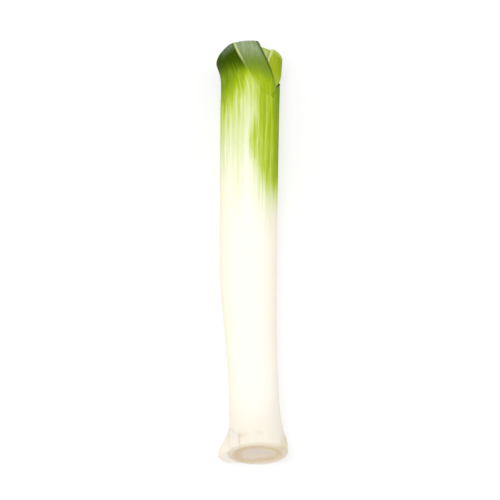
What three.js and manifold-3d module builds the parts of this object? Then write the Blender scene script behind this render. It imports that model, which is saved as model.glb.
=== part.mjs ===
// A trimmed leek lying on its side: white shaft, green leaf ends cut across, roots cut off flat.
// The leaves grow as nested sheaths from a small conical stem, the root plate. Each sheath is a closed
// tube that opens on one side near the top, and its blade goes on opposite that opening, at the keel.
// Units are millimetres. The leek lies along Y with the root end at -Y, and rests on z = 0.
// s is the distance along it from the cut root plate. Angles go round the section: 0 is +X and 90 is up.
import * as THREE from "three";
import { mergeVertices } from "three/addons/utils/BufferGeometryUtils.js";
import Module from "manifold-3d";

const wasm = await Module();
wasm.setup();

// Driving dimensions
const LENGTH = 287;
const GAP = 0.36;
const SHIFT_X = -2.25;
const SHAFT_RADIUS = 19;

// The underside is pressed flat by this much, which fades out over these insets.
const FLAT = { depth: 0.6, from: 5, to: 16 };

// The outline of the whole leek: half width, half height and the place of its centre, at distances s.
const OUTLINE = [
  { s: 0, width: 20.5, height: 20.1, x: 5.2, z: 19.5 },
  { s: 9, width: 19.8, height: 19.4, x: 5.0, z: 19.3 },
  { s: 17, width: 18.0, height: 18.2, x: 4.3, z: 19.3 },
  { s: 27, width: 16.9, height: 17.2, x: 3.6, z: 19.2 },
  { s: 50, width: 16.4, height: 16.4, x: 2.6, z: 19.1 },
  { s: 80, width: 17.0, height: 16.9, x: 1.0, z: 18.9 },
  { s: 122, width: 18.7, height: 18.5, x: -0.6, z: 18.6 },
  { s: 180, width: 19.1, height: 18.9, x: -0.5, z: 18.5 },
  { s: 240, width: 19.5, height: 18.6, x: 0.2, z: 18.1 },
  { s: 266, width: 19.9, height: 18.2, x: 0.6, z: 17.6 },
  { s: 278, width: 21.9, height: 17.9, x: -0.6, z: 17.3 },
  { s: 288, width: 23.0, height: 17.6, x: -1.0, z: 17.0 },
];

// The rim where the outermost sheath curls in round the cut root plate.
const RIM_ROUNDING = { length: 3.2, depth: 3.0 };
const CURL_REACH = 2;

// The outermost sheath is thick round the root plate and thins to its shaft thickness over this distance.
const BASE_THICKNESS = 3.95;
const BASE_FADE = 22;

// The share of its thickness that a keel keeps at the cut end.
const BLADE_THINNING = 0.72;

// The root plate: a cut disc with a cone behind it, on which the sheaths stand. radius is a share of the
// outline's, and the ring of root stubs stands out of the face round stubsAt, another such share.
const PLATE = { radius: 0.7905, face: 0.7, edge: 2.2, coneTop: 17, columns: 34 };
const STUBS = { count: 17, at: 0.62, width: 0.09, height: 0.6, depth: 0.3 };

// Where the rows of every sheath lie: its base and leaf end have rows of their own, and these lie between.
const BASE_END = 26;
const TOP_START = 238;
const SHAFT_ROWS = [50, 80, 118, 160, 200];
const FOOT_CROWDING = 1.7;

// A mouth is cut as a wedge that runs on past the cut end and out past the outer surface.
const MOUTH_END = LENGTH + 6;
const MOUTH_OUT = 9;
const MOUTH_IN = 0.85 * SHAFT_RADIUS;
const MOUTH_STEPS = 14;
const MOUTH_COLUMNS = 12;
const MOUTH_FIRST_STEP = 0.0004;

// The leaves from the outside in. keel and mouth are thicknesses there, and notch is where the mouth starts.
// front and back are how far its two margins lie from its middle at the end, and its back margin is already
// there at backBy, if that is stated. drop is how much shorter the cut leaf is at its sides than on top, bend
// how late it drops, and tilt how much longer it is at +X. lean moves its keel out there.
const LEAVES = [
  { name: "leaf_1", keelAt: 215, keel: 2.4, mouth: 0.85, notch: 248.3, front: 83.2, back: 57, power: 0.377,
    backBy: 272, cut: 287, drop: 10.5, bend: 2.4, tilt: 0, lean: 0, columns: 36, baseRows: 7, topRows: 9 },
  { name: "leaf_2", keelAt: 185, keel: 2.3, mouth: 0.85, notch: 253, front: 75.5, back: 74, power: 0.7,
    cut: 286.8, drop: 10.8, bend: 3, tilt: 0.6, lean: 0, columns: 30, baseRows: 5, topRows: 7 },
  { name: "leaf_3", keelAt: 0, keel: 2.6, mouth: 0.85, notch: 244.5, front: 125, back: 145, power: 0.2,
    cut: 283.9, drop: 4.4, bend: 6, tilt: 0, lean: 2.9, columns: 26, baseRows: 5, topRows: 8 },
  { name: "leaf_4", keelAt: 180, keel: 2.1, mouth: 0.8, notch: 263.5, front: 34, back: 40, power: 0.5,
    cut: 284.4, drop: 1.6, bend: 2.4, tilt: 0, lean: 0.9, columns: 24, baseRows: 5, topRows: 6 },
  { name: "leaf_5", keelAt: 0, keel: 2.1, mouth: 0.8, notch: 259.5, front: 118, back: 112, power: 0.4,
    cut: 281.8, drop: 2, bend: 2.4, tilt: 0, lean: 1.3, columns: 22, baseRows: 5, topRows: 6 },
  { name: "leaf_6", keelAt: 180, keel: 1.8, mouth: 0.8, notch: 267.5, front: 70, back: 60, power: 0.5,
    cut: 282.6, drop: 2, bend: 2.4, tilt: 0, lean: 0.9, columns: 20, baseRows: 5, topRows: 5 },
];
// A keel leans out over this share of the mouth in front of it, and comes out between these distances
// past that mouth's notch.
const LEAN_REACH = 0.8;
const LEAN_START = 3;
const LEAN_END = 15;

const HEART = { name: "heart_leaf", cut: 281.4, columns: 18, baseRows: 5, topRows: 4 };

// The fleshy base of an outer leaf that was pulled off, left standing at the side of the root end.
// side and top are how far up it ends at its sides and its middle, and ragged is how uneven that edge is.
// It stands off most, by lift, at the angle liftAt, and not at all liftFront before it or liftBack after it.
const REMNANT = {
  name: "leaf_base_remnant", middle: 181, spread: 55, start: 0.5, side: 8, top: 17, thin: 0.7, ragged: 0.6,
  lift: 6.6, liftAt: 207, liftFront: 48, liftBack: 30, liftPower: 1.2, columns: 14, rows: 9,
};

const COLOURS = {
  leaf_1: 0xdfe8b4, leaf_2: 0xb9cf86, leaf_3: 0xc3d65c, leaf_4: 0xd3dc9a, leaf_5: 0xdfe39c,
  leaf_6: 0xe9e9ae, heart_leaf: 0xf3efc0, root_plate: 0xcbb48c, leaf_base_remnant: 0xf2e6d2,
};

const radians = THREE.MathUtils.degToRad;
const lerp = THREE.MathUtils.lerp;
const smooth = (value, from, to) => THREE.MathUtils.smoothstep(value, from, to);

// A smooth curve through the outline's rows, with slopes from the neighbours of each row.
function outlineAt(s) {
  const last = OUTLINE.length - 1;
  let i = OUTLINE.findIndex((row) => row.s > s) - 1;
  if (i < 0) i = s < OUTLINE[0].s ? 0 : last - 1;
  const from = OUTLINE[i];
  const to = OUTLINE[i + 1];
  const before = OUTLINE[Math.max(i - 1, 0)];
  const after = OUTLINE[Math.min(i + 2, last)];
  const span = to.s - from.s;
  const t = THREE.MathUtils.clamp((s - from.s) / span, -0.2, 1.2);
  const found = {};
  for (const key of ["width", "height", "x", "z"]) {
    const slopeFrom = ((to[key] - before[key]) / (to.s - before.s)) * span;
    const slopeTo = ((after[key] - from[key]) / (after.s - from.s)) * span;
    found[key] =
      from[key] * (2 * t ** 3 - 3 * t ** 2 + 1) +
      slopeFrom * (t ** 3 - 2 * t ** 2 + t) +
      to[key] * (3 * t ** 2 - 2 * t ** 3) +
      slopeTo * (t ** 3 - t ** 2);
  }
  return found;
}

// How high a surface lies over the table where the leek is pressed flat: each layer on top of the last.
function floorAt(inset) {
  return inset - FLAT.depth * smooth(inset, FLAT.from, FLAT.to);
}

// The point at distance s and an angle, inset from the outer surface. Flesh that meets the table is flat.
function pointAt(s, angle, inset, floor = floorAt(inset)) {
  const o = outlineAt(s);
  const a = radians(angle);
  const rim = THREE.MathUtils.clamp(1 - s / RIM_ROUNDING.length, 0, 1);
  const share = THREE.MathUtils.clamp(1 - inset / CURL_REACH, 0, 1);
  const curl = RIM_ROUNDING.depth * (1 - Math.sqrt(1 - rim ** 2)) * share;
  const x = o.x + (o.width - inset - curl) * Math.cos(a);
  const z = o.z + (o.height - inset - curl) * Math.sin(a);
  return new THREE.Vector3(x + SHIFT_X, s - LENGTH / 2, Math.max(z, floor));
}

function axisPointAt(s) {
  return pointAt(s, 0, outlineAt(s).width, 0);
}

function anglesOf(columns) {
  return Array.from({ length: columns }, (_, i) => (i * 360) / columns);
}

// How thick a leaf is at an angle and distance: fleshy at the keel, thin at the mouth, thicker at the base.
function thicknessAt(leaf, s, angle) {
  const keelShare = (1 + Math.cos(radians(angle - leaf.keelAt))) / 2;
  const size = outlineAt(s).width / SHAFT_RADIUS;
  const shaft = lerp(leaf.mouth, leaf.keel, keelShare) * Math.min(size, 1);
  const blade = lerp(1, BLADE_THINNING, smooth(s, TOP_START, LENGTH) * keelShare);
  const base = leaf === LEAVES[0] ? BASE_THICKNESS : shaft;
  return lerp(base, shaft * blade, smooth(s, 0, BASE_FADE));
}

// How far a leaf's outer surface lies inside the leek's, before its own keel leans out.
function depthOf(index, s, angle) {
  return LEAVES.slice(0, index).reduce((sum, leaf) => sum + thicknessAt(leaf, s, angle) + GAP, 0);
}

// How far a leaf's mouth is open at distance s, from 0 at its notch to 1 at the end of its wedge.
function openAt(leaf, s) {
  return Math.max((s - leaf.notch) / (MOUTH_END - leaf.notch), 0) ** leaf.power;
}

// How many degrees the two margins of a leaf's mouth lie from its middle at distance s.
function marginsAt(leaf, s) {
  const share = openAt(leaf, s);
  const backShare = leaf.backBy ? smooth(s, leaf.notch, leaf.backBy) : share;
  return { front: leaf.front * share, back: leaf.back * backShare };
}

// How far a leaf's keel leans out, through the open mouth of the leaf round it.
function leanOf(index, s, angle) {
  const leaf = LEAVES[index];
  if (!leaf.lean) return 0;
  const round = LEAVES[index - 1];
  const off = Math.abs(((angle - round.keelAt + 720) % 360) - 180);
  const reach = LEAN_REACH * Math.min(round.front, round.back) * openAt(round, s);
  const side = off < reach ? Math.cos(radians((off / reach) * 90)) : 0;
  return leaf.lean * smooth(s, round.notch + LEAN_START, round.notch + LEAN_END) * side;
}

// The height of the root plate's cone at a share of the outline's radius.
function coneAt(share) {
  return lerp(PLATE.edge, PLATE.coneTop, 1 - Math.min(share / PLATE.radius, 1));
}

function startOf(inset) {
  const share = 1 - inset / OUTLINE[0].width;
  return share > PLATE.radius ? 0 : coneAt(share) + GAP;
}

function cutOf(leaf, angle) {
  const across = Math.cos(radians(angle));
  return leaf.cut - leaf.drop * Math.abs(across) ** leaf.bend + leaf.tilt * across;
}

// The distance s of each row of a leaf at one angle, from its foot to its cut end.
function rowsOf(leaf, foot, cut) {
  const sharesOf = (rows) => Array.from({ length: rows + 1 }, (_, k) => k / rows);
  const base = sharesOf(leaf.baseRows).map((share) => lerp(foot, BASE_END, share ** FOOT_CROWDING));
  const top = sharesOf(leaf.topRows).map((share) => lerp(TOP_START, cut, share));
  return [...base, ...SHAFT_ROWS, ...top];
}

// A closed solid from sections, each a loop of points, which join into a ring or are capped at both ends.
function solidFromSections(sections, ring) {
  const count = sections[0].length;
  const positions = new Float32Array(sections.flat().flatMap((p) => [p.x, p.y, p.z]));
  const faces = [];
  const steps = ring ? sections.length : sections.length - 1;
  for (let i = 0; i < steps; i++) {
    const here = i * count;
    const next = ((i + 1) % sections.length) * count;
    for (let k = 0; k < count; k++) {
      const up = (k + 1) % count;
      faces.push(here + k, next + up, next + k, here + k, here + up, next + up);
    }
  }
  if (!ring) {
    const last = (sections.length - 1) * count;
    for (let k = 0; k < count / 2 - 1; k++) {
      const far = count - 1 - k;
      faces.push(k, far, k + 1, k + 1, far, far - 1);
      faces.push(last + k, last + k + 1, last + far, last + k + 1, last + far - 1, last + far);
    }
  }
  return geometryOf(positions, faces);
}

// A closed solid from rings of points stacked between two end points.
function solidFromRings(first, rings, last) {
  const count = rings[0].length;
  const all = [...rings.flat(), first, last];
  const positions = new Float32Array(all.flatMap((p) => [p.x, p.y, p.z]));
  const faces = [];
  const low = rings.length * count;
  for (let k = 0; k < count; k++) {
    const next = (k + 1) % count;
    faces.push(low, k, next);
    faces.push(low + 1, (rings.length - 1) * count + next, (rings.length - 1) * count + k);
    for (let i = 0; i + 1 < rings.length; i++) {
      const a = i * count;
      const b = a + count;
      faces.push(a + k, b + k, b + next, a + k, b + next, a + next);
    }
  }
  return geometryOf(positions, faces);
}

function geometryOf(positions, faces) {
  const geometry = new THREE.BufferGeometry();
  geometry.setAttribute("position", new THREE.BufferAttribute(positions, 3));
  geometry.setIndex(faces);
  return geometry;
}

function toSolid(geometry) {
  const merged = mergeVertices(geometry, 1e-4);
  const vertProperties = merged.attributes.position.array;
  const triVerts = new Uint32Array(merged.index.array);
  return new wasm.Manifold(new wasm.Mesh({ numProp: 3, vertProperties, triVerts }));
}

function fromSolid(solid) {
  const mesh = solid.getMesh();
  return geometryOf(new Float32Array(mesh.vertProperties), Array.from(mesh.triVerts));
}

// The whole sheath of a leaf, closed all round up to its cut end.
function sheathOf(leaf, index) {
  const sections = [];
  for (const angle of anglesOf(leaf.columns)) {
    const skin = (inner) => {
      const insetAt = (s) =>
        depthOf(index, s, angle) - leanOf(index, s, angle) + (inner ? thicknessAt(leaf, s, angle) : 0);
      return rowsOf(leaf, startOf(insetAt(0)), cutOf(leaf, angle)).map((s) => pointAt(s, angle, insetAt(s)));
    };
    sections.push([...skin(false), ...skin(true).reverse()]);
  }
  return toSolid(solidFromSections(sections, true));
}

// The wedge of space that a leaf's open mouth takes, from its notch past its cut end.
function mouthOf(leaf) {
  const sections = [];
  for (let i = 0; i <= MOUTH_COLUMNS; i++) {
    const outer = [];
    const inner = [];
    for (let k = 0; k <= MOUTH_STEPS; k++) {
      const s = lerp(leaf.notch, MOUTH_END, Math.max((k / MOUTH_STEPS) ** 2, MOUTH_FIRST_STEP));
      const { front, back } = marginsAt(leaf, s);
      const angle = leaf.keelAt + 180 + lerp(-back, front, i / MOUTH_COLUMNS);
      outer.push(pointAt(s, angle, -MOUTH_OUT, -MOUTH_OUT));
      inner.push(pointAt(s, angle, MOUTH_IN, -MOUTH_OUT));
    }
    sections.push([...outer, ...inner.reverse()]);
  }
  return toSolid(solidFromSections(sections, false));
}

function leafGeometry(leaf, index) {
  return fromSolid(sheathOf(leaf, index).subtract(mouthOf(leaf)));
}

// The youngest leaves, still rolled into one spindle.
function heartGeometry() {
  const index = LEAVES.length;
  const angles = anglesOf(HEART.columns);
  const rowsAt = angles.map((angle) => rowsOf(HEART, startOf(depthOf(index, 0, angle)), HEART.cut));
  const rings = rowsAt[0].map((_, k) =>
    angles.map((angle, i) => pointAt(rowsAt[i][k], angle, depthOf(index, rowsAt[i][k], angle))));
  return solidFromRings(axisPointAt(PLATE.coneTop + 2 * GAP), rings, axisPointAt(HEART.cut));
}

// The cut stem: a disc with a low ring of cut root stubs round a paler middle, and a cone behind.
function plateGeometry() {
  const faceShares = [0.22, 0.5, 0.6, 0.7, PLATE.radius];
  const coneShares = [0.5, 0.25, 0.08];
  const angles = anglesOf(PLATE.columns);
  const at = (s, angle, share) => pointAt(s, angle, (1 - share) * outlineAt(s).width);
  const faceAt = (share, angle) => {
    const ring = Math.exp(-(((share - STUBS.at) / STUBS.width) ** 2));
    const stub = 1 - STUBS.depth * (1 - Math.cos(radians(angle * STUBS.count)));
    return PLATE.face - STUBS.height * ring * stub;
  };
  const face = faceShares.map((share) => angles.map((angle) => at(faceAt(share, angle), angle, share)));
  const edge = angles.map((angle) => at(PLATE.edge, angle, PLATE.radius));
  const cone = coneShares.map((share) => angles.map((angle) => at(coneAt(share), angle, share)));
  return solidFromRings(axisPointAt(PLATE.face), [...face, edge, ...cone], axisPointAt(PLATE.coneTop));
}

// The left-over leaf base: it lies along the outermost sheath and stands off it towards the root end.
function remnantGeometry() {
  const sections = [];
  for (let i = 0; i <= REMNANT.columns; i++) {
    const across = (i / REMNANT.columns) * 2 - 1;
    const angle = REMNANT.middle + across * REMNANT.spread;
    const middleShare = 1 - across ** 2;
    const top = lerp(REMNANT.side, REMNANT.top, middleShare) + Math.cos(i * 2.4) * REMNANT.ragged;
    const off = angle - REMNANT.liftAt;
    const liftShare = Math.min(Math.abs(off) / (off < 0 ? REMNANT.liftFront : REMNANT.liftBack), 1);
    const liftSide = Math.cos(radians(90 * liftShare)) ** REMNANT.liftPower;
    const outer = [];
    const inner = [];
    for (let k = 0; k <= REMNANT.rows; k++) {
      const t = k / REMNANT.rows;
      const s = lerp(REMNANT.start, top, t ** 1.4);
      const lift = REMNANT.lift * liftSide * (1 - t ** 2) ** 1.6 * smooth(t, -0.5, 0.18);
      outer.push(pointAt(s, angle, -GAP - REMNANT.thin - lift, 0));
      inner.push(pointAt(s, angle, -GAP, 0));
    }
    sections.push([...outer, ...inner.reverse()]);
  }
  return solidFromSections(sections, false);
}

const leek = new THREE.Group();
function addPiece(name, geometry) {
  const material = new THREE.MeshStandardMaterial({ color: COLOURS[name], roughness: 0.45, metalness: 0 });
  const mesh = new THREE.Mesh(geometry, material);
  mesh.name = name;
  leek.add(mesh);
}

addPiece("root_plate", plateGeometry());
LEAVES.forEach((leaf, index) => addPiece(leaf.name, leafGeometry(leaf, index)));
addPiece(HEART.name, heartGeometry());
addPiece(REMNANT.name, remnantGeometry());

export default leek;
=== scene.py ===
# The looks of a trimmed leek that lies on its side: finer leaves, root plate and heart in place of the plain
# solids, with their colours, veins and cut faces, on a pale floor in soft light.
# Sizes are millimetres until a mesh is made. s is the distance along the leek from its cut root plate.
# Angles go round its section in degrees: 0 is +X and 90 is up.
import math
from typing import NamedTuple

import bpy
import numpy as np
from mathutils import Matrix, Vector


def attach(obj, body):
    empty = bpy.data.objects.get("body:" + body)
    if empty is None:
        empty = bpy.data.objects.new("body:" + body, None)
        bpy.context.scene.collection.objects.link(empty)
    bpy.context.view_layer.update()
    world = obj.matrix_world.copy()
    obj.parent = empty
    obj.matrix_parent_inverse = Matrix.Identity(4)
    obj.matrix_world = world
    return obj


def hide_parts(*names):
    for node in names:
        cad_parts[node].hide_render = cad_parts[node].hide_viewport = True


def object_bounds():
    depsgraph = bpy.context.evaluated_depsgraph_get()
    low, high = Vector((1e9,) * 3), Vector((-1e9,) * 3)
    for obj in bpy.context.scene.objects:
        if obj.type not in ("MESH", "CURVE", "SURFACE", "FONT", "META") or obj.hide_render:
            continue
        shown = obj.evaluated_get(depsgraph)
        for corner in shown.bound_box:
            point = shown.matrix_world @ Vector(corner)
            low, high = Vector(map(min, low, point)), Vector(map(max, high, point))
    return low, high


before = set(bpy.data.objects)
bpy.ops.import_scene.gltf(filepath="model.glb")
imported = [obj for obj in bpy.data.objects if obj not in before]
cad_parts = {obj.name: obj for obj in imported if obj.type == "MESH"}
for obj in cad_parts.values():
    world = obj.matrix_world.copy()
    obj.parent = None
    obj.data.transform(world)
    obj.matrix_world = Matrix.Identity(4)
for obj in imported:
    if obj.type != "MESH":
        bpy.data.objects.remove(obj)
cad_low, cad_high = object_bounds()

MM = 0.001
LENGTH = (cad_high.y - cad_low.y) / MM
SHIFT_X = -2.25
SHAFT_RADIUS = 19.0
GAP = 0.36

# The outline of the whole leek: distance s, half width, half height, and the x and z of its centre.
OUTLINE = np.array([
    (0, 20.5, 20.1, 5.2, 19.5),
    (9, 19.8, 19.4, 5.0, 19.3),
    (17, 18.0, 18.2, 4.3, 19.3),
    (27, 16.9, 17.2, 3.6, 19.2),
    (50, 16.4, 16.4, 2.6, 19.1),
    (80, 17.0, 16.9, 1.0, 18.9),
    (122, 18.7, 18.5, -0.6, 18.6),
    (180, 19.1, 18.9, -0.5, 18.5),
    (240, 19.5, 18.6, 0.2, 18.1),
    (266, 19.9, 18.2, 0.6, 17.6),
    (278, 21.9, 17.9, -0.6, 17.3),
    (288, 23.0, 17.6, -1.0, 17.0),
])
FLAT_DEPTH, FLAT_FROM, FLAT_TO = 0.6, 5, 16
RIM_LENGTH, RIM_DEPTH, CURL_REACH = 3.2, 3.0, 2
BASE_THICKNESS, BASE_FADE, BLADE_THINNING = 3.95, 22, 0.72
BASE_END, TOP_START, MOUTH_END = 26, 238, LENGTH + 6
LEAN_REACH, LEAN_START, LEAN_END = 0.8, 3, 15
PLATE_RADIUS, PLATE_FACE, PLATE_EDGE, CONE_TOP = 0.7905, 0.7, 2.2, 17
STUBS, STUBS_AT, STUBS_WIDTH, STUBS_HEIGHT = 17, 0.62, 0.09, 0.6


class Leaf(NamedTuple):
    """One leaf, from the same values as its solid, with the fineness of its mesh."""

    name: str
    slot: str
    keel_at: float
    keel: float
    mouth: float
    notch: float
    front: float
    back: float
    power: float
    back_by: float
    cut: float
    drop: float
    bend: float
    tilt: float
    lean: float
    columns: int
    rows: tuple


LEAVES = [
    Leaf("leaf_1", "outer_leaf", 215, 2.4, 0.85, 248.3, 83.2, 57, 0.377, 272, 287, 10.5, 2.4, 0, 0, 360, (40, 56, 8, 56)),
    Leaf("leaf_2", "second_leaf", 185, 2.3, 0.85, 253, 75.5, 74, 0.7, 0, 286.8, 10.8, 3, 0.6, 0, 260, (8, 8, 6, 52)),
    Leaf("leaf_3", "inner_leaves", 0, 2.6, 0.85, 244.5, 125, 145, 0.2, 0, 283.9, 4.4, 6, 0, 2.9, 240, (8, 8, 4, 56)),
    Leaf("leaf_4", "inner_leaves", 180, 2.1, 0.8, 263.5, 34, 40, 0.5, 0, 284.4, 1.6, 2.4, 0, 0.9, 200, (8, 8, 10, 36)),
    Leaf("leaf_5", "inner_leaves", 0, 2.1, 0.8, 259.5, 118, 112, 0.4, 0, 281.8, 2, 2.4, 0, 1.3, 180, (8, 8, 8, 36)),
    Leaf("leaf_6", "inner_leaves", 180, 1.8, 0.8, 267.5, 70, 60, 0.5, 0, 282.6, 2, 2.4, 0, 0.9, 160, (8, 8, 10, 30)),
]
HEART_CUT = 281.4


def smooth(value, low, high):
    t = np.clip((np.asarray(value, float) - low) / (high - low), 0, 1)
    return t * t * (3 - 2 * t)


def lerp(a, b, share):
    return a + (b - a) * share


def cosd(angle):
    return np.cos(np.radians(angle))


def from_angle(angle, middle):
    """How many degrees an angle lies from the middle, from -180 to 180."""
    return (np.asarray(angle, float) - middle + 180) % 360 - 180


# The leek's form


def outline(s):
    s = np.asarray(s, float)
    knots, rows = OUTLINE[:, 0], OUTLINE[:, 1:]
    i = np.clip(np.searchsorted(knots, s, side="right") - 1, 0, len(knots) - 2)
    before, after = np.maximum(i - 1, 0), np.minimum(i + 2, len(knots) - 1)
    span = knots[i + 1] - knots[i]
    slope_from = (rows[i + 1] - rows[before]) * (span / (knots[i + 1] - knots[before]))[..., None]
    slope_to = (rows[after] - rows[i]) * (span / (knots[after] - knots[i]))[..., None]
    t = np.clip((s - knots[i]) / span, -0.2, 1.2)[..., None]
    found = (
        rows[i] * (2 * t**3 - 3 * t**2 + 1)
        + slope_from * (t**3 - 2 * t**2 + t)
        + rows[i + 1] * (3 * t**2 - 2 * t**3)
        + slope_to * (t**3 - t**2)
    )
    return found[..., 0], found[..., 1], found[..., 2], found[..., 3]


def points(s, angle, inset, floor=None):
    """Points at distance s and an angle, inset from the outer surface. Flesh that meets the table is flat."""
    s, angle, inset = np.broadcast_arrays(*(np.asarray(v, float) for v in (s, angle, inset)))
    width, height, x, z = outline(s)
    rim = np.clip(1 - s / RIM_LENGTH, 0, 1)
    curl = RIM_DEPTH * (1 - np.sqrt(1 - rim**2)) * np.clip(1 - inset / CURL_REACH, 0, 1)
    if floor is None:
        floor = inset - FLAT_DEPTH * smooth(inset, FLAT_FROM, FLAT_TO)
    px = x + SHIFT_X + (width - inset - curl) * np.cos(np.radians(angle))
    pz = z + (height - inset - curl) * np.sin(np.radians(angle))
    return np.stack([px, s - LENGTH / 2, np.maximum(pz, floor)], -1)


def thickness(leaf, s, angle):
    keel_share = (1 + cosd(angle - leaf.keel_at)) / 2
    size = np.minimum(outline(s)[0] / SHAFT_RADIUS, 1)
    shaft = lerp(leaf.mouth, leaf.keel, keel_share) * size
    blade = lerp(1, BLADE_THINNING, smooth(s, TOP_START, LENGTH) * keel_share)
    base = BASE_THICKNESS if leaf is LEAVES[0] else shaft
    return lerp(base, shaft * blade, smooth(s, 0, BASE_FADE))


def depth(index, s, angle):
    """How far a leaf's outer surface lies inside the leek's, before its own keel leans out."""
    total = np.zeros(np.broadcast(s, angle).shape)
    for leaf in LEAVES[:index]:
        total = total + thickness(leaf, s, angle) + GAP
    return total


def open_share(leaf, s):
    """How far a leaf's mouth is open, from 0 at its notch."""
    return np.maximum((s - leaf.notch) / (MOUTH_END - leaf.notch), 0) ** leaf.power


def mouth(leaf, s):
    """How many degrees a leaf's front and back margins lie from the middle of its mouth."""
    share = open_share(leaf, s)
    return leaf.front * share, leaf.back * (smooth(s, leaf.notch, leaf.back_by) if leaf.back_by else share)


def lean(index, s, angle):
    """How far a leaf's keel leans out, through the open mouth of the leaf round it."""
    leaf = LEAVES[index]
    if not leaf.lean:
        return np.zeros(np.broadcast(s, angle).shape)
    outer = LEAVES[index - 1]
    off = np.abs(from_angle(angle, outer.keel_at + 180))
    reach = LEAN_REACH * min(outer.front, outer.back) * open_share(outer, s)
    side = np.where(off < reach, cosd(90 * off / np.maximum(reach, 1e-6)), 0)
    return leaf.lean * smooth(s, outer.notch + LEAN_START, outer.notch + LEAN_END) * side


def cone_at(share):
    """The distance s of the root plate's cone at a share of the outline's radius."""
    return lerp(PLATE_EDGE, CONE_TOP, 1 - np.minimum(share / PLATE_RADIUS, 1))


def start_of(inset):
    share = 1 - inset / OUTLINE[0, 1]
    return np.where(share > PLATE_RADIUS, 0, cone_at(share) + GAP)


def cut_at(leaf, angle):
    across = cosd(angle)
    return leaf.cut - leaf.drop * np.abs(across) ** leaf.bend + leaf.tilt * across


# Uneven surfaces, by sums of waves


def waves(value, count, seed, low, high):
    """A smooth uneven line from -1 to 1, as a sum of sines with seeded wavelengths and phases."""
    draw = np.random.default_rng(seed)
    total = np.zeros(np.shape(value))
    for _ in range(count):
        total += np.sin(2 * np.pi * value / draw.uniform(low, high) + draw.uniform(0, 2 * np.pi))
    return total / count


def ring_waves(angle, count, seed, low, high):
    """The same round the section: whole numbers of waves, from low to high of them a turn."""
    draw = np.random.default_rng(seed)
    total = np.zeros(np.shape(angle))
    for _ in range(count):
        total += np.cos(np.radians(angle * draw.integers(low, high + 1)) + draw.uniform(0, 2 * np.pi))
    return total / count


# Meshes


class MeshParts:
    """Collects points with their values, and faces, and makes one closed mesh of them."""

    def __init__(self):
        self.points, self.values, self.faces, self.kinds = [], [], [], []
        self.count = 0

    def add_points(self, points_mm, **values):
        shape = points_mm.shape[:-1]
        size = int(np.prod(shape))
        self.points.append(points_mm.reshape(-1, 3))
        spread = {k: np.broadcast_to(v, shape + np.shape(v)[len(shape):]) for k, v in values.items()}
        self.values.append({k: v.reshape((size,) + v.shape[len(shape):]) for k, v in spread.items()})
        ids = np.arange(self.count, self.count + size).reshape(shape)
        self.count += size
        return ids

    def add_strip(self, near, far, kind=0):
        """Quads between two lines of point ids. They face out where far lies up the leek from near and ids go
        round by growing angle."""
        quads = np.stack([near[..., :-1], far[..., :-1], far[..., 1:], near[..., 1:]], -1).reshape(-1, 4)
        self.faces.append(quads)
        self.kinds.append(np.full(len(quads), kind))

    def add_grid(self, ids, kind=0, inward=False):
        if inward:
            ids = ids[::-1]
        self.add_strip(ids[:-1], ids[1:], kind)

    def add_fan(self, centre, ring, kind=0, forward=True):
        ends = (ring[:-1], ring[1:]) if forward else (ring[1:], ring[:-1])
        middle = np.full(len(ring) - 1, centre)
        self.faces.append(np.stack([ends[0], ends[1], middle, middle], -1))
        self.kinds.append(np.full(len(ring) - 1, kind))

    def build(self, name, materials):
        points_mm = np.concatenate(self.points)
        faces = np.concatenate(self.faces)
        kinds = np.concatenate(self.kinds)
        used, faces = np.unique(faces, return_inverse=True)
        faces = faces.reshape(-1, 4)
        mesh = bpy.data.meshes.new(name)
        triangles = faces[:, 2] == faces[:, 3]
        lists = [face[:3] if short else face for face, short in zip(faces.tolist(), triangles)]
        mesh.from_pydata((points_mm[used] * MM).tolist(), [], lists)
        for key in self.values[0]:
            whole = np.concatenate([v[key] for v in self.values])[used]
            wide = whole.ndim == 2
            attribute = mesh.attributes.new(key, "FLOAT_VECTOR" if wide else "FLOAT", "POINT")
            attribute.data.foreach_set("vector" if wide else "value", whole.astype(np.float32).ravel())
        for material in materials:
            mesh.materials.append(material)
        mesh.polygons.foreach_set("material_index", kinds.astype(np.int32))
        mesh.polygons.foreach_set("use_smooth", np.ones(len(faces), bool))
        mesh.set_sharp_from_angle(angle=math.radians(42))
        mesh.update()
        piece = bpy.data.objects.new(name, mesh)
        bpy.context.scene.collection.objects.link(piece)
        return piece


def place(piece, node, slot):
    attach(piece, "root")
    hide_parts(node)


# How green the leaves are

GREEN_STEPS = ((-100, 0), (-75, 0.03), (-55, 0.08), (-42, 0.13), (-32, 0.20), (-22, 0.27), (-14, 0.36), (-6, 0.43),
               (0, 0.52), (5, 0.62), (10, 0.78), (15, 0.87), (20, 1))
GREEN_LIMITS = ((-180, 238), (-60, 240), (20, 250), (75, 256), (84, 260), (94, 261), (103, 250.5), (112, 248.5),
                (122, 244.5), (133, 241.5), (146, 237), (158, 237), (172, 239), (180, 239))
TONGUE_STEPS = ((-35, 0), (-19, 0.09), (-10, 0.21), (-4.7, 0.32), (0, 0.5), (4, 0.74), (8, 0.92), (12, 1))
TONGUE_LIMITS = ((-180, 230), (-60, 200), (0, 186), (21, 184), (37, 181), (48, 178), (58, 184), (67, 186), (75, 196),
                 (80, 200), (84, 203), (91, 203), (105, 212), (180, 230))
TONGUE_GREEN = ((-100, 0), (-70, 0.4), (-40, 0.7), (-10, 0.9), (10, 0.88), (24, 0.82), (36, 0.72), (46, 0.61), (55, 0.71),
                (62, 0.59), (70, 0.55), (77, 0.50), (84, 0.33), (91, 0.13), (100, 0))
LEAF_LIMITS = {"leaf_2": 247, "leaf_3": 256, "leaf_4": 300, "leaf_5": 276, "leaf_6": 280}


def steps(value, pairs):
    return np.interp(value, [p[0] for p in pairs], [p[1] for p in pairs])


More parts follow.
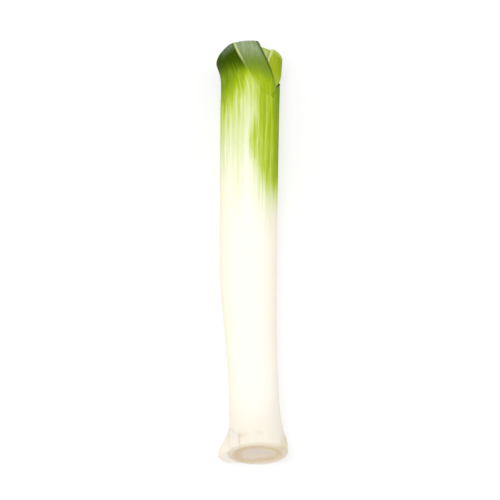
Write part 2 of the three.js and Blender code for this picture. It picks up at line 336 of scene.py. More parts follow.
def greenness(leaf, s, angle):
    """From 0 for white flesh to 1 for green. The outermost leaf is green far down its right side, as a tongue."""
    turn = from_angle(angle, 0)
    whole = steps(s - steps(turn, GREEN_LIMITS), GREEN_STEPS)
    wave = np.sin((s - 225) / 7.5) * smooth(turn, 60, 80) * 4
    tongue = steps(s - steps(turn, TONGUE_LIMITS), TONGUE_STEPS) * steps(turn + wave, TONGUE_GREEN)
    whole = whole * (1 - 0.5 * np.exp(-(((turn - 131) / 16) ** 2)) * (1 - whole) ** 2)
    outermost = np.maximum(whole, tongue) + 0.25 * np.minimum(whole, tongue)
    if leaf.name == "leaf_1":
        return outermost
    own = np.minimum(steps(s - LEAF_LIMITS[leaf.name], GREEN_STEPS), 0.82)
    if leaf.name == "leaf_2":
        return lerp(outermost, own, smooth(s, 256, 268))
    return own


def wax(leaf, s, angle):
    """How strong the grey wax bloom is: the outermost leaf has it on top only."""
    if leaf.name == "leaf_1":
        return smooth(np.abs(from_angle(angle, 108)), 46, 22)
    return np.ones(np.shape(s))


def darkness(leaf, s, angle):
    """From 0 for the light green of the inner parts to 1 for the dark green of the blades. On the inner leaves it also
    holds painted shade on their right (+X) side.
    """
    if leaf.name == "leaf_1":
        return smooth(s, 261, 275)
    if leaf.name == "leaf_2":
        return smooth(s - 0.05 * from_angle(angle, 70), 258, 272)
    # The second term is painted shade on the right (+X) side of the inner leaves.
    return 0.25 * smooth(s, 262, 284) + 0.28 * smooth(cosd(angle), 0.82, 1) * smooth(s, 250, 272)


# Leaves

MARGIN_SPLIT = 4
KEEN, KEENEST = 250, 24
CLING, CLING_BACK = 0.34, 0.7
NICK_AT, NICK_LENGTH, NICK_WIDTH, NICK_OUT = 261.4, 2.1, 1.7, 1.2
FOLDS = ((36, 3.4, 0.25, 12), (14, 2.6, 0.2, 11), (-13, 3.0, 0.4, 12), (-48, 3.4, 0.5, 11), (-84, 2.6, 0.4, 9),
         (-122, 3.2, 0.5, 12), (-158, 2.6, 0.45, 10))
MARKS = ((88, 8.3, 3.2, 0.42), (117, 7.2, 3.4, 0.4), (126, 6.8, 2.2, 0.5), (126, 3.5, 1.3, 0.45), (127, 1, 1.3, 0.4),
         (60, 7.8, 3.4, 0.25), (30, 3.5, 4.4, 0.65), (22, 8.5, 4.0, 0.5))
RIM_TAN_LENGTH = 3.5
RIM_TANS = ((-180, 0.65), (-150, 0.8), (-125, 0.9), (-85, 0.3), (-40, 0.4), (0, 0.62), (40, 0.7), (90, 0.5), (125, 0.35),
            (160, 0.5), (180, 0.65))


def folds_at(s, angle):
    """How deep the lengthwise folds at the root end are, each at its own angle."""
    total = np.zeros(np.broadcast(s, angle).shape)
    for middle, half_width, deep, long in FOLDS:
        off = from_angle(angle + waves(s, 2, int(middle) + 400, 9, 21) * 1.5, middle)
        total += deep * np.exp(-((off / half_width) ** 2)) * (1 - smooth(s, 0.4 * long, 1.4 * long))
    return total


def marks_at(s, angle):
    """Where the outermost leaf is tan at its root end: its folds, and a few soft patches in its crease."""
    total = 0.5 * folds_at(s, angle)
    for middle, place, size, strong in MARKS:
        across = np.radians(from_angle(angle, middle)) * SHAFT_RADIUS
        total += strong * np.exp(-(across**2 + (s - place) ** 2) / size**2)
    return total


def tans_and_nick_shade(leaf, s, angle, ends, inner):
    """How tan the outermost leaf is at its foot, and how much painted shade darkens its nick, on its outer and its
    inner skin.
    """
    if leaf is not LEAVES[0]:
        return np.zeros(s.shape)
    off = from_angle(angle, leaf.keel_at + 180)
    nick_shade = nick_at(s, off, np.radians(ends) * SHAFT_RADIUS) * 2 * (s > leaf.notch)
    foot = steps(from_angle(angle, 0), RIM_TANS) * (1 - smooth(s, 0, RIM_TAN_LENGTH))
    return nick_shade + (foot if inner else foot + marks_at(s, angle))


def relief(index, s, angle, flow_angle):
    """How far the outer surface sinks in: veins, an uneven shaft, and folds and a crease at the root end."""
    veins = 0.05 * (1 + ring_waves(flow_angle, 3, 11 + index, 48, 62)) + 0.025 * (1 + ring_waves(flow_angle, 3, 31 + index, 90, 118))
    strength = lerp(0.4, 1, smooth(s, 225, 265))
    if index:
        return veins * 0.8
    uneven = 0.12 * (1 + ring_waves(angle, 3, 5, 3, 9) * waves(s, 3, 6, 30, 90))
    front = np.exp(-((from_angle(angle, 98) / 42) ** 2))
    crease = 0.35 * np.exp(-(((s - 8.6 - 0.5 * waves(angle, 2, 8, 20, 50)) / 1.1) ** 2)) * front
    return veins * strength + uneven + folds_at(s, angle) + crease


def cling(leaf, s, off, ends):
    """How far the outermost leaf's margins are pressed on to the leaf below, most on its back side, and how far a
    torn nick in the back one stands off."""
    aside = np.radians(np.where(s >= leaf.notch, ends, np.abs(off))) * SHAFT_RADIUS
    near = (1 - smooth(aside, 0, 4)) * smooth(s, leaf.notch - 3, leaf.notch + 0.5)
    back = CLING_BACK * smooth(-off, 0, 12) * (1 - smooth(s, 268, 276))
    return near * (CLING + back) - NICK_OUT * nick_at(s, off, aside)


def nick_at(s, off, aside):
    """Where the back margin of the outermost leaf has a small torn nick that stands off. The same weight paints it
    dark, as painted shade under the lifted corner.
    """
    return np.exp(-(((s - NICK_AT) / NICK_LENGTH) ** 2) - (aside / NICK_WIDTH) ** 2) * (off < 0)


def fan(leaf, s, angle):
    """How many degrees the veins have turned away from the mouth at distance s, next to its two margins."""
    off = from_angle(angle, leaf.keel_at + 180)
    beyond = np.maximum(s - leaf.notch, 0)
    near = smooth(np.abs(off), 8, 50) * (1 - smooth(np.abs(off), 60, 135))
    return np.sign(off) * near * beyond**2 / (beyond + 8)


def row_shares(count, power=1.0):
    return np.linspace(0, 1, count + 1)[:, None] ** power


def leaf_lines(leaf, foot, cut, rows):
    """The distances s of all rows for each column, and the number of the row at the notch."""
    base, shaft, throat, blade = rows
    zones = [
        lerp(foot, BASE_END, row_shares(base, 1.5))[:-1],
        lerp(BASE_END, TOP_START, row_shares(shaft))[:-1] + 0 * foot,
        lerp(TOP_START, leaf.notch, row_shares(throat))[:-1] + 0 * foot,
        lerp(leaf.notch, cut, row_shares(blade, 1.6)),
    ]
    return np.concatenate(zones), base + shaft + throat


def leaf_piece(index, materials):
    leaf = LEAVES[index]
    middle = leaf.keel_at + 180
    u = np.linspace(0, 1, leaf.columns + 1)

    def angle_at(s):
        front, back = mouth(leaf, s)
        shift = front * (1 - u) ** np.minimum(KEEN / np.maximum(front, 1), KEENEST)
        return middle + 360 * u + shift - back * u ** np.minimum(KEEN / np.maximum(back, 1), KEENEST)

    cut = np.full(u.shape, float(leaf.cut))
    for _ in range(12):
        cut = cut_at(leaf, angle_at(cut))

    def values(s, angle, inner):
        front, back = mouth(leaf, s)
        ends = np.minimum(angle - middle - front, middle + 360 - back - angle)
        above = smooth(s, leaf.notch, leaf.notch + 3)
        margin = np.where(s >= leaf.notch, np.radians(ends) * SHAFT_RADIUS, 40) + 12 * (1 - above)
        flow_angle = angle - fan(leaf, s, angle)
        flow = np.stack([SHAFT_RADIUS * cosd(flow_angle), SHAFT_RADIUS * np.sin(np.radians(flow_angle)), s], -1)
        return flow_angle, margin, {
            "flow": flow,
            "along": s,
            "green": greenness(leaf, s, angle),
            "dark": darkness(leaf, s, angle),
            "wax": wax(leaf, s, angle),
            # side: how much painted shade the white flesh of the outermost leaf gets at its left and right sides
            "side": np.abs(cosd(angle)) ** 3 * (index == 0),
            "margin": margin,
            "to_cut": cut - s,
            "inner": np.full(s.shape, float(inner)),
            "tan_and_shade": tans_and_nick_shade(leaf, s, angle, ends, inner),
        }

    parts = MeshParts()

    def skin(rows, inner):
        angle_foot = middle + 360 * u
        inset_foot = depth(index, 0, angle_foot) + (thickness(leaf, 0, angle_foot) if inner else 0)
        s, notch_row = leaf_lines(leaf, start_of(inset_foot), cut, rows)
        angle = angle_at(s)
        flow_angle, margin, kept = values(s, angle, inner)
        inset = depth(index, s, angle) - lean(index, s, angle)
        if index == 0:
            front, back = mouth(leaf, s)
            ends = np.minimum(angle - middle - front, middle + 360 - back - angle)
            inset = inset + cling(leaf, s, from_angle(angle, middle), ends)
        if inner:
            inset = inset + thickness(leaf, s, angle) * lerp(0.55, 1, smooth(margin, 0, 3.5))
        else:
            inset = inset + relief(index, s, angle, flow_angle) + 0.12 * (1 - smooth(margin, 0, 0.8))
        ids = parts.add_points(points(s, angle, inset), **kept)
        ids[: notch_row + 1, -1] = ids[: notch_row + 1, 0]
        return s, angle, inset, ids, notch_row

    s_out, angle_out, inset_out, outer, notch_out = skin(leaf.rows, False)
    few = (6, 6, 4, leaf.rows[3])
    s_in, angle_in, inset_in, inner, notch_in = skin(few, True)
    parts.add_grid(outer)
    parts.add_grid(inner, inward=True)
    parts.add_strip(inner[0], outer[0])

    shares = np.linspace(0, 1, MARGIN_SPLIT + 1)[1:-1, None]
    bulge = np.sin(np.pi * shares)

    def between(row, first, last, out, recess, column):
        """Points inside the leaf's thickness at a row, from the outer skin to the inner one."""
        s = lerp(s_out[row, column], s_in[notch_in + row - notch_out, column], shares) - recess * bulge
        angle = lerp(angle_out[row, column], angle_in[notch_in + row - notch_out, column], shares) + out * bulge
        inset = lerp(inset_out[row, column], inset_in[notch_in + row - notch_out, column], shares)
        kept = {
            "flow": np.stack([SHAFT_RADIUS * cosd(angle), SHAFT_RADIUS * np.sin(np.radians(angle)), s], -1),
            "along": s,
            "green": greenness(leaf, s, angle),
            "dark": darkness(leaf, s, angle),
            "wax": wax(leaf, s, angle),
            "side": np.abs(cosd(angle)) ** 3 * (index == 0),
            "margin": np.full(s.shape, float(first)),
            "to_cut": np.full(s.shape, float(last)),
            "inner": np.broadcast_to(shares, s.shape),
            "tan_and_shade": np.zeros(s.shape),
        }
        return parts.add_points(points(s, angle, inset), **kept)

    columns = np.arange(leaf.columns + 1)
    pits = 0.2 + 0.12 * ring_waves(angle_out[-1], 3, 70 + index, 60, 80)
    face = between(len(s_out) - 1, 8, 0, 0, pits, columns)
    face_lines = np.concatenate([outer[-1][None], face, inner[-1][None]])
    parts.add_grid(face_lines, kind=1)

    rows = np.arange(notch_out, len(s_out))
    sides = {}
    for column, out in ((0, -1), (leaf.columns, 1)):
        grown = smooth(rows, notch_out, notch_out + 8)
        body = between(rows, 0, 6, out * 0.8 * grown, 0, column)
        body[:, -1] = face[:, column]
        if column:
            body[:, 0] = sides[0][:, 0]
        sides[column] = body
        first = outer[rows, column][None]
        last = inner[rows - notch_out + notch_in, column][None]
        lines = np.concatenate([first, body, last])
        parts.add_grid(lines if column == 0 else lines[::-1])
    piece = parts.build(leaf.name + "_surface", materials)
    place(piece, leaf.name, leaf.slot)
    return piece


# Materials


class Shader:
    """One material, built up from nodes, with its constant numbers on the shader's own sockets."""

    def __init__(self, name, roughness=0.5, specular=0.2, subsurface=0.0, radius=(1.0, 1.0, 1.0)):
        self.material = bpy.data.materials.new(name)
        self.material.use_nodes = True
        self.nodes = self.material.node_tree.nodes
        self.links = self.material.node_tree.links
        self.bsdf = self.nodes["Principled BSDF"]
        self.bsdf.inputs["Roughness"].default_value = roughness
        self.bsdf.inputs["Specular IOR Level"].default_value = specular
        self.bsdf.inputs["Subsurface Weight"].default_value = subsurface
        self.bsdf.inputs["Subsurface Radius"].default_value = radius
        self.bsdf.inputs["Subsurface Scale"].default_value = MM

    def put(self, socket, value):
        if isinstance(value, bpy.types.NodeSocket):
            self.links.new(value, socket)
        elif isinstance(value, tuple) and socket.type == "RGBA":
            socket.default_value = (*value, 1)
        else:
            socket.default_value = value

    def attribute(self, name, vector=False):
        node = self.nodes.new("ShaderNodeAttribute")
        node.attribute_name = name
        return node.outputs["Vector" if vector else "Fac"]

    def stretch(self, vector, along, across=1.0, start=0.0):
        node = self.nodes.new("ShaderNodeMapping")
        self.put(node.inputs["Vector"], vector)
        node.inputs["Location"].default_value = (start, start, start)
        node.inputs["Scale"].default_value = (across, across, along)
        return node.outputs["Vector"]

    def noise(self, vector, scale, detail=2.0, rough=0.5, warp=0.0):
        node = self.nodes.new("ShaderNodeTexNoise")
        self.put(node.inputs["Vector"], vector)
        node.inputs["Scale"].default_value = scale
        node.inputs["Detail"].default_value = detail
        node.inputs["Roughness"].default_value = rough
        node.inputs["Distortion"].default_value = warp
        return node.outputs["Fac"]

    def maths(self, operation, a, b=0.0, clamp=False):
        node = self.nodes.new("ShaderNodeMath")
        node.operation = operation
        node.use_clamp = clamp
        self.put(node.inputs[0], a)
        self.put(node.inputs[1], b)
        return node.outputs[0]

    def fade(self, value, low, high, to_low=0.0, to_high=1.0):
        node = self.nodes.new("ShaderNodeMapRange")
        node.interpolation_type = "SMOOTHSTEP"
        self.put(node.inputs["Value"], value)
        node.inputs["From Min"].default_value = low
        node.inputs["From Max"].default_value = high
        node.inputs["To Min"].default_value = to_low
        node.inputs["To Max"].default_value = to_high
        return node.outputs["Result"]

    def mix(self, share, a, b, blend="MIX"):
        node = self.nodes.new("ShaderNodeMix")
        node.data_type = "RGBA"
        node.blend_type = blend
        self.put(node.inputs["Factor"], share)
        self.put(node.inputs["A"] if False else node.inputs[6], a)
        self.put(node.inputs[7], b)
        return node.outputs[2]

    def colour(self, socket):
        self.put(self.bsdf.inputs["Base Color"], socket)

    def bump(self, height, distance, strength=1.0):
        node = self.nodes.new("ShaderNodeBump")
        node.inputs["Strength"].default_value = strength
        node.inputs["Distance"].default_value = distance * MM
        self.put(node.inputs["Height"], height)
        self.links.new(node.outputs["Normal"], self.bsdf.inputs["Normal"])


STREAKS_START = 52.4
WHITE_FLESH = (0.95, 0.91, 0.80)
LIME = (0.33, 0.46, 0.004)
GREEN = (0.15, 0.25, 0.002)
DARK_GREEN = (0.035, 0.072, 0.001)


def leaf_material(name, lime, green, dark, bloom, bloom_from, streaks, band, margin_colour_and_shade, band_from, band_width):
    """White flesh that turns green towards the blade, streaked along the veins, with a band along the margin: pale on
    the outer and inner leaves, and dark on the second leaf, where it is painted shade.
    """
    shader = Shader(name, roughness=0.5, specular=0.02, subsurface=0.15, radius=(1.4, 1.2, 0.5))
    flow = shader.attribute("flow", vector=True)
    long = shader.stretch(flow, 0.028, start=STREAKS_START)
    bands = shader.noise(long, 0.2, 1.0)
    wide_streaks = shader.noise(long, 0.55, 2.0)
    fine_streaks = shader.noise(shader.stretch(flow, 0.05, start=STREAKS_START), 1.15, 2.5, 0.6)
    broken = shader.noise(shader.stretch(flow, 0.2, start=STREAKS_START), 0.9, 4.0, 0.65)
    streak = shader.maths("ADD", shader.maths("MULTIPLY", wide_streaks, 0.48), shader.maths("MULTIPLY", fine_streaks, 0.37))
    streak = shader.maths("ADD", streak, shader.maths("MULTIPLY", bands, 0.15))
    lines = shader.fade(streak, 0.50, 0.60)

    green_at = shader.attribute("green")
    centred = shader.maths("SUBTRACT", streak, 0.5)
    bell = shader.maths("MULTIPLY", shader.maths("MULTIPLY", green_at, shader.maths("SUBTRACT", 1.12, green_at)), streaks)
    turned = shader.maths("ADD", green_at, shader.maths("MULTIPLY", centred, bell), clamp=True)

    ramp = shader.nodes.new("ShaderNodeValToRGB")
    stops = ((0.0, WHITE_FLESH), (0.15, (0.73, 0.79, 0.46)), (0.35, (0.62, 0.71, 0.27)), (0.55, (0.48, 0.60, 0.075)),
             (0.75, lime), (1.0, green))
    for place_at, colour in stops[1:-1]:
        ramp.color_ramp.elements.new(place_at)
    for element, (place_at, colour) in zip(ramp.color_ramp.elements, stops):
        element.position = place_at
        element.color = (*colour, 1)
    shader.put(ramp.inputs["Fac"], turned)
    colour = ramp.outputs["Color"]

    dark_at = shader.attribute("dark")
    border = shader.maths("MULTIPLY", dark_at, shader.maths("SUBTRACT", 1.15, dark_at))
    dark_share = shader.maths("ADD", dark_at, shader.maths("MULTIPLY", shader.maths("MULTIPLY", centred, border), -6.0), clamp=True)
    colour = shader.mix(dark_share, colour, dark)
    pale = shader.maths("MULTIPLY", shader.maths("MULTIPLY", lines, shader.fade(green_at, 0.3, 0.8)), 0.3)
    pale = shader.maths("MULTIPLY", pale, shader.fade(dark_at, 0.6, 0.1))
    colour = shader.mix(pale, colour, (0.52, 0.62, 0.10))

    to_cut = shader.attribute("to_cut")
    waxy = shader.fade(to_cut, bloom_from, 1.0)
    waxy = shader.maths("MULTIPLY", waxy, shader.fade(broken, 0.38, 0.62, 0.4, 1.25))
    waxy = shader.maths("MULTIPLY", waxy, shader.attribute("wax"))
    colour = shader.mix(waxy, colour, bloom)

    margin = shader.attribute("margin")
    along = shader.attribute("along")
    # The margin band: a pale margin on most leaves, and painted shade along the second leaf's edge.
    edge = shader.maths("MULTIPLY", shader.fade(margin, band_width, 0.45 * band_width), band)
    edge = shader.maths("MULTIPLY", edge, shader.fade(along, band_from, band_from + 16))
    colour = shader.mix(edge, colour, margin_colour_and_shade)
    # Painted shade: the white flesh of the outermost leaf turns warmer and darker at its left and right sides, where
    # the shaft turns away from the light.
    side = shader.maths("MULTIPLY", shader.attribute("side"), shader.fade(green_at, 0.3, 0.0, 0.0, 0.6))
    colour = shader.mix(side, colour, (0.94, 0.86, 0.66))
    foot = shader.fade(along, 46, 4)
    blush = shader.mix(shader.maths("MULTIPLY", foot, 0.9), colour, (0.82, 0.765, 0.675))
    spots = shader.noise(shader.stretch(flow, 0.5), 0.16, 2.0)
    tan_share = shader.maths("MULTIPLY", shader.fade(spots, 0.5, 0.75), shader.fade(along, 24, 8))
    blush = shader.mix(shader.maths("MULTIPLY", tan_share, 0.3), blush, (0.86, 0.72, 0.54))
    # Tan at the root end. High up, at the nick, a dark green that is painted shade.
    tan_and_shade = shader.fade(shader.attribute("tan_and_shade"), 0.0, 1.2, 0.0, 0.8)
    tan_and_shade_colour = shader.mix(shader.fade(along, 100, 200), (0.70, 0.57, 0.38), (0.10, 0.13, 0.06))
    blush = shader.mix(tan_and_shade, blush, tan_and_shade_colour)
    shader.colour(blush)

    veins = shader.noise(shader.stretch(flow, 0.012), 2.6, 2.0)
    pores = shader.noise(shader.stretch(flow, 0.35), 5.0, 2.0)
    height = shader.maths("ADD", veins, shader.maths("MULTIPLY", pores, 0.35))
    shader.bump(height, 0.10, 0.6)
    return shader.material


def cut_material(name, middle, skin):
    """The flesh where a leaf was cut across: spongy, darker at its two skins."""
    shader = Shader(name, roughness=0.5, specular=0.3, subsurface=0.2, radius=(1.2, 1.2, 0.6))
    flow = shader.attribute("flow", vector=True)
    cells = shader.noise(flow, 2.4, 3.0, 0.6)
    through = shader.attribute("inner")
    rim = shader.maths("ABSOLUTE", shader.maths("SUBTRACT", through, 0.5))
    share = shader.maths("ADD", shader.fade(rim, 0.25, 0.5), shader.fade(cells, 0.45, 0.7, 0.0, 0.35), clamp=True)
    shader.colour(shader.mix(share, middle, skin))
    shader.bump(cells, 0.3, 0.7)
    return shader.material


# Root plate

# Where the ring of roots starts on the cut face, and its tone from 0 for brown to 1 for olive, by angle.
RING_FROM = ((-180, 0.52), (-135, 0.6), (-76, 0.44), (-25, 0.5), (20, 0.6), (52, 0.46), (99, 0.44), (140, 0.5), (180, 0.52))
RING_TONES = ((-180, 0.2), (-157, 0.25), (-125, 0.85), (-105, 0.5), (-76, 0.1), (-50, 0.4), (-25, 1), (0, 0.5), (21, 0.4),
              (52, 0.9), (75, 0.5), (99, 0), (130, 0.3), (150, 0.4), (170, 0), (180, 0.2))


def plate_piece(material):
    """The cut stem: a rough disc with a ring of cut root stubs, its edge, and the cone behind it."""
    columns = 240
    angle = np.linspace(0, 360, columns + 1)

    def ring(share, s):
        width = outline(s)[0]
        inset = (1 - share) * width
        s = np.broadcast_to(s, angle.shape)
        return parts.add_points(
            points(s, angle, inset),
            share=share + 0.5 - steps(from_angle(angle, 0), RING_FROM),
            tone=steps(from_angle(angle, 0), RING_TONES),
            flow=np.stack([share * cosd(angle), share * np.sin(np.radians(angle)), s * 0.05], -1) * SHAFT_RADIUS,
            along=s,
        )

    parts = MeshParts()
    rings = []
    edge_share = PLATE_RADIUS + 0.022
    for share in np.linspace(0.02, edge_share - 0.002, 62):
        bump_ring = np.exp(-(((share - STUBS_AT) / STUBS_WIDTH) ** 2))
        stub = 0.7 + 0.3 * cosd(angle * STUBS)
        rough = 0.14 * ring_waves(angle, 4, int(share * 900), 5, 34) + 0.05 * ring_waves(angle, 3, 7, 40, 70)
        sunk = 0.35 * np.exp(-((share / 0.3) ** 2))
        face = lerp(PLATE_FACE + 0.2, 0.25, smooth(share, 0.7, edge_share))
        rings.append(ring(share, face - STUBS_HEIGHT * bump_ring * stub + rough * smooth(share, 0, 0.2) * 0.7 + sunk))
    for s in (PLATE_FACE + 0.8, PLATE_EDGE):
        rings.append(ring(edge_share, s))
    for share in np.linspace(PLATE_RADIUS - 0.05, 0.03, 16):
        rings.append(ring(share, cone_at(share)))
    rings = np.array(rings)
    rings[:, -1] = rings[:, 0]
    parts.add_grid(rings)
    low = parts.add_points(points(np.full(1, PLATE_FACE + 0.5), 0, outline(0)[0], 0), share=np.zeros(1), tone=np.zeros(1), flow=np.zeros((1, 3)), along=np.zeros(1))
    high = parts.add_points(points(np.full(1, CONE_TOP), 0, outline(CONE_TOP)[0], 0), share=np.zeros(1), tone=np.zeros(1), flow=np.zeros((1, 3)), along=np.zeros(1))
    parts.add_fan(low[0], rings[0], forward=True)
    parts.add_fan(high[0], rings[-1], forward=False)
    piece = parts.build("root_plate_surface", [material])
    place(piece, "root_plate", "root_plate")
    return piece


def plate_material():
    shader = Shader("root_plate_flesh", roughness=0.6, specular=0.2, subsurface=0.15, radius=(1.5, 1.2, 0.8))
    flow = shader.attribute("flow", vector=True)
    share = shader.attribute("share")
    patches = shader.noise(flow, 0.22, 3.0, 0.6)
    grain = shader.noise(flow, 1.3, 3.0, 0.65)
    broad = shader.noise(flow, 0.09, 1.0)
    moved = shader.maths("ADD", share, shader.maths("MULTIPLY", shader.maths("SUBTRACT", patches, 0.5), 0.2))
    ring = shader.fade(moved, 0.38, 0.60)
    colour = shader.mix(shader.fade(patches, 0.35, 0.7), (0.78, 0.66, 0.56), (0.71, 0.64, 0.57))
    colour = shader.mix(shader.fade(broad, 0.45, 0.65, 0.0, 0.6), colour, (0.82, 0.67, 0.53))
    tan = shader.mix(shader.attribute("tone"), (0.70, 0.50, 0.35), (0.66, 0.60, 0.35))
    tan = shader.mix(shader.fade(grain, 0.42, 0.65, 0.0, 0.7), tan, (0.80, 0.67, 0.50))
    colour = shader.mix(ring, colour, tan)
    fibres = shader.fade(shader.noise(flow, 2.6, 2.0), 0.55, 0.72)
    colour = shader.mix(shader.maths("MULTIPLY", fibres, 0.25), colour, (0.52, 0.41, 0.30))
    colour = shader.mix(shader.fade(moved, 0.64, 0.86, 0.0, 0.7), colour, (0.83, 0.73, 0.57))
    shader.colour(colour)
    shader.bump(shader.maths("ADD", grain, patches), 0.35, 0.8)
    return shader.material


# Heart


def heart_piece(materials):
    """The youngest leaves, rolled in one spindle, whose cut end shows the roll."""
    index = len(LEAVES)
    columns = 200
    angle = np.linspace(0, 360, columns + 1)
    foot = start_of(depth(index, 0, angle))
    zones = [lerp(foot, BASE_END, row_shares(6, 1.5))[:-1], lerp(BASE_END, HEART_CUT, row_shares(26)) + 0 * foot]
    s = np.concatenate(zones)
    inset = depth(index, s, angle)
    parts = MeshParts()

    def add(s, inset, turn):
        flow = np.stack([SHAFT_RADIUS * cosd(turn), SHAFT_RADIUS * np.sin(np.radians(turn)), s], -1)
        return parts.add_points(points(s, angle, inset), flow=flow, along=s, green=steps(s - 275, GREEN_STEPS),
                                roll=np.zeros(s.shape))

    side = add(s, inset, np.broadcast_to(angle, s.shape))
    side[:, -1] = side[:, 0]
    parts.add_grid(side)
    width = outline(HEART_CUT)[0]
    rim = inset[-1]
    rings = [side[-1]]
    for share in np.linspace(0.985, 0.04, 46):
        radius = share * (width - rim)
        layer = share * 4.6 + angle / 360
        groove = np.exp(-(((layer - np.round(layer)) / 0.10) ** 2)) * smooth(share, 0.1, 0.2)
        lift = 0.5 * smooth(np.abs(share - 0.5), 0.5, 0.0) * ring_waves(angle, 2, 3, 1, 3)
        s_face = HEART_CUT - 1.6 * groove - 0.25 + 0.2 * lift
        flow = np.stack([radius * cosd(angle), radius * np.sin(np.radians(angle)), s_face], -1)
        ids = parts.add_points(points(s_face, angle, width - radius), flow=flow, along=s_face, green=np.full(angle.shape, 0.55 + 0.25 * share),
                               roll=groove)
        ids[-1] = ids[0]
        rings.append(ids)
    parts.add_grid(np.array(rings), kind=1)
    top = parts.add_points(points(np.full(1, HEART_CUT - 0.4), 0, width, 0), flow=np.zeros((1, 3)), along=np.full(1, HEART_CUT),
                           green=np.full(1, 0.5), roll=np.zeros(1))
    low = parts.add_points(points(np.full(1, CONE_TOP + 2 * GAP), 0, outline(CONE_TOP)[0], 0), flow=np.zeros((1, 3)), along=np.full(1, CONE_TOP),
                           green=np.zeros(1), roll=np.zeros(1))
    parts.add_fan(top[0], rings[-1], kind=1, forward=False)
    parts.add_fan(low[0], side[0], forward=True)
    piece = parts.build("heart_surface", materials)
    place(piece, "heart_leaf", "heart")
    return piece


def heart_material():
    shader = Shader("heart_flesh", roughness=0.45, specular=0.25, subsurface=0.25, radius=(1.5, 1.4, 0.8))
    flow = shader.attribute("flow", vector=True)
    cells = shader.noise(flow, 1.6, 3.0, 0.6)
    colour = shader.mix(shader.attribute("green"), WHITE_FLESH, (0.72, 0.76, 0.28))
    colour = shader.mix(shader.fade(cells, 0.45, 0.7, 0.0, 0.4), colour, (0.86, 0.86, 0.52))
    colour = shader.mix(shader.maths("MULTIPLY", shader.attribute("roll"), 0.75), colour, (0.30, 0.38, 0.08))
    shader.colour(colour)
    shader.bump(cells, 0.2, 0.6)
    return shader.material


# The left-over leaf base

REMNANT_MIDDLE, REMNANT_SPREAD, REMNANT_START = 181, 55, 0.5
REMNANT_SIDE, REMNANT_TOP, REMNANT_THIN, REMNANT_RAGGED = 8, 17, 0.7, 0.6
REMNANT_LIFT, LIFT_AT, LIFT_FRONT, LIFT_BACK, LIFT_POWER = 6.6, 207, 48, 30, 1.2


def remnant_piece(material):
    columns, rows = 96, 70
    across = np.linspace(-1, 1, columns + 1)
    share = np.linspace(0, 1, rows + 1)[:, None]
    angle = REMNANT_MIDDLE + across * REMNANT_SPREAD
    middle_share = 1 - across**2
    ragged = REMNANT_RAGGED * np.cos((across + 1) / 2 * 12 * 2.4) - 0.25 * (1 + waves(across, 3, 91, 0.06, 0.2))
    top = lerp(REMNANT_SIDE, REMNANT_TOP, middle_share) + ragged
    s = lerp(REMNANT_START, top, share**1.4)
    off = angle - LIFT_AT
    lift_side = cosd(90 * np.clip(np.where(off < 0, -off / LIFT_FRONT, off / LIFT_BACK), 0, 1)) ** LIFT_POWER
    lift = REMNANT_LIFT * lift_side * (1 - share**2) ** 1.6 * smooth(share, -0.5, 0.18)
    thick = REMNANT_THIN * lerp(0.3, 1, smooth(middle_share, 0, 0.5)) * lerp(1, 0.3, smooth(share, 0.4, 1)) + lift
    ribs = 0.06 * (1 + ring_waves(angle, 4, 21, 30, 60)) + 0.1 * (1 + waves(s, 3, 22, 5, 13)) * middle_share
    outer_inset = -0.05 - np.maximum(thick - ribs * smooth(thick, 0.3, 1.2), 0.12) - GAP * smooth(thick, 0.5, 2)
    inner_inset = -0.04
    parts = MeshParts()

    def add(inset, inner):
        inset = np.broadcast_to(inset, s.shape)
        spread_angle = np.broadcast_to(angle, s.shape)
        flow = np.stack([SHAFT_RADIUS * cosd(spread_angle), SHAFT_RADIUS * np.sin(np.radians(spread_angle)), s], -1)
        return parts.add_points(points(s, spread_angle, inset, 0), flow=flow, along=s,
                                to_edge=np.minimum((1 - share) * 14, (1 - np.abs(across)) * 16) + 0 * s,
                                inner=np.full(s.shape, float(inner)))

    outer, inner = add(outer_inset, 0), add(inner_inset, 1)
    parts.add_grid(outer)
    parts.add_grid(inner, inward=True)
    parts.add_strip(inner[0], outer[0])
    parts.add_strip(outer[-1], inner[-1])
    parts.add_strip(inner[::-1, 0], outer[::-1, 0])
    parts.add_strip(inner[:, -1], outer[:, -1])
    piece = parts.build("leaf_base_surface", [material])
    place(piece, "leaf_base_remnant", "leaf_base")
    return piece


def remnant_material():
    shader = Shader("leaf_base_flesh", roughness=0.5, specular=0.2, subsurface=0.25, radius=(1.6, 1.3, 0.8))
    flow = shader.attribute("flow", vector=True)
    streak = shader.noise(shader.stretch(flow, 0.05), 0.9, 3.0, 0.6)
    patches = shader.noise(shader.stretch(flow, 0.3), 0.25, 3.0)
    colour = shader.mix(shader.fade(streak, 0.35, 0.7), (0.90, 0.82, 0.72), (0.85, 0.78, 0.66))
    colour = shader.mix(shader.fade(patches, 0.45, 0.75, 0.0, 0.6), colour, (0.86, 0.70, 0.56))
    edge = shader.fade(shader.attribute("to_edge"), 2.0, 0.2, 0.0, 0.3)
    colour = shader.mix(edge, colour, (0.90, 0.76, 0.64))
    # Painted light: the root end of the left-over leaf base is lighter, to lift the shade it lies in.
    colour = shader.mix(shader.fade(shader.attribute("along"), 1.6, 0.6, 0.0, 0.6), colour, (0.95, 0.87, 0.77))
    shader.colour(colour)
    shader.bump(streak, 0.25, 0.8)
    return shader.material


# Stage


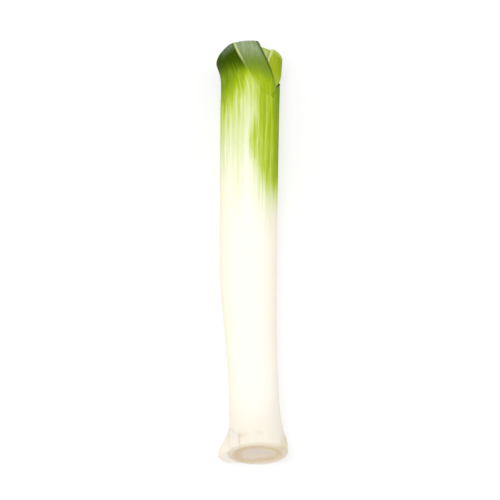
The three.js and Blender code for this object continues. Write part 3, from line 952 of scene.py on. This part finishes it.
def make_floor():
    mesh = bpy.data.meshes.new("floor")
    half = 60.0
    mesh.from_pydata([(-half, -half, 0), (half, -half, 0), (half, half, 0), (-half, half, 0)], [], [(0, 1, 2, 3)])
    floor = bpy.data.objects.new("floor", mesh)
    bpy.context.scene.collection.objects.link(floor)
    material = bpy.data.materials.new("floor_white")
    material.use_nodes = True
    bsdf = material.node_tree.nodes["Principled BSDF"]
    bsdf.inputs["Base Color"].default_value = (0.32, 0.32, 0.32, 1)
    bsdf.inputs["Roughness"].default_value = 0.9
    bsdf.inputs["Specular IOR Level"].default_value = 0.0
    bsdf.inputs["Emission Color"].default_value = (1, 1, 1, 1)
    bsdf.inputs["Emission Strength"].default_value = 0.66
    mesh.materials.append(material)


def make_light(name, place_at, size, power):
    data = bpy.data.lights.new(name, "AREA")
    data.shape = "DISK"
    data.size = size
    data.energy = power
    light = bpy.data.objects.new(name, data)
    light.location = place_at
    light.rotation_euler = (-Vector(place_at)).to_track_quat("-Z", "Y").to_euler()
    bpy.context.scene.collection.objects.link(light)


def make_stage():
    make_floor()
    world = bpy.data.worlds.new("studio")
    world.use_nodes = True
    background = world.node_tree.nodes["Background"]
    background.inputs["Color"].default_value = (1, 1, 1, 1)
    background.inputs["Strength"].default_value = 0.84
    bpy.context.scene.world = world
    make_light("key", (-0.4, -0.4, 2.5), 1.2, 24)
    bpy.context.scene.view_settings.view_transform = "Standard"


CAMERA_SLOPE = 68
CAMERA_DISTANCE = 10.0
FRAME_WIDTH = 0.3275
AIM = Vector((-1.92, 0.5, 18.84)) * MM


def make_camera():
    data = bpy.data.cameras.new("camera")
    data.lens = data.sensor_width * CAMERA_DISTANCE / FRAME_WIDTH
    data.clip_end = 3 * CAMERA_DISTANCE
    camera = bpy.data.objects.new("camera", data)
    slope = math.radians(CAMERA_SLOPE)
    away = Vector((0, -math.cos(slope), math.sin(slope)))
    camera.location = AIM + away * CAMERA_DISTANCE
    camera.rotation_euler = (-away).to_track_quat("-Z", "Y").to_euler()
    bpy.context.scene.collection.objects.link(camera)
    bpy.context.scene.camera = camera


cut_green = cut_material("cut_green", (0.52, 0.60, 0.24), (0.20, 0.30, 0.06))
cut_lime = cut_material("cut_lime", (0.70, 0.76, 0.32), (0.40, 0.50, 0.08))
outer_look = leaf_material("outer_leaf", LIME, GREEN, DARK_GREEN, (0.15, 0.20, 0.11), 6.0, 6.0, 0.85, (0.53, 0.62, 0.25), 263, 1.7)
# The second leaf's dark margin band is painted shade along its edge, where it lies over the leaves below.
second_look = leaf_material("second_leaf", LIME, (0.22, 0.33, 0.01), (0.165, 0.25, 0.03), (0.31, 0.37, 0.25), 16.5, 3.6,
                            0.85, (0.06, 0.105, 0.008), 254, 2.2)
inner_look = leaf_material("inner_leaf", (0.38, 0.48, 0.02), (0.27, 0.35, 0.004), (0.16, 0.23, 0.003), (0.42, 0.52, 0.12),
                           3.0, 2.5, 0.8, (0.60, 0.68, 0.28), 263, 1.8)

leaf_piece(0, [outer_look, cut_green])
leaf_piece(1, [second_look, cut_green])
for number in range(2, len(LEAVES)):
    leaf_piece(number, [inner_look, cut_lime])
plate_piece(plate_material())
heart_look = heart_material()
heart_piece([heart_look, heart_look])
remnant_piece(remnant_material())
make_stage()
make_camera()
